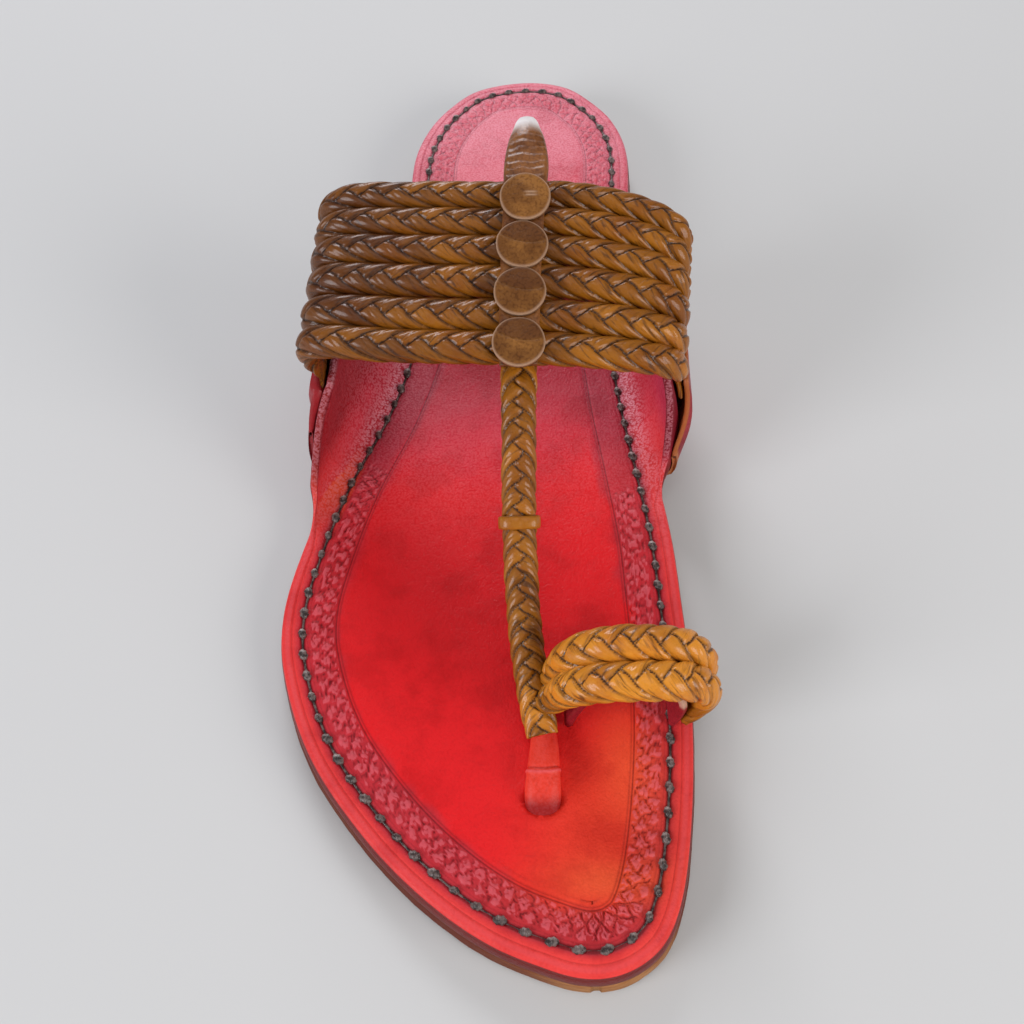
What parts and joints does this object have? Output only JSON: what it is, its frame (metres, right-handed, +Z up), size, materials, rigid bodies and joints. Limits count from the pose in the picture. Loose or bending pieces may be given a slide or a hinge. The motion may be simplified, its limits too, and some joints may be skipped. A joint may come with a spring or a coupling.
{
  "type": "kolhapuri sandal",
  "caption": "Flat leather sandal with a toe loop, a band of braided cords held between two sole ears, and a long braid down to the toe.",
  "frame": {"origin": "on the floor, under the middle of the sandal's box", "axes": "+Z up from the sole to the foot, +Y from toe to heel, +X towards the big-toe (medial) side"},
  "size_m": [0.0961, 0.2667, 0.0721],
  "materials": {
    "natural_leather": "vegetable-tanned tan leather, cut edges",
    "red_leather": "hand-dyed red leather, semi-gloss",
    "dark_red_leather": "dark red dyed leather, semi-gloss",
    "braided_leather": "brown to ochre braided leather strands, polished",
    "disc_leather": "matt mid-brown leather",
    "thread": "dark waxed thread"
  },
  "bodies": {
    "root": {"outsole": "natural_leather", "heel": "natural_leather", "insole": "red_leather", "ear_lateral": "dark_red_leather", "ear_medial": "dark_red_leather", "upper": "braided_leather", "keeper_loop": "braided_leather", "toe_sleeve": "red_leather", "toe_loop_lining": "dark_red_leather", "disc_1": "disc_leather", "disc_2": "disc_leather", "disc_3": "disc_leather", "disc_4": "disc_leather"}
  },
  "joints": []
}
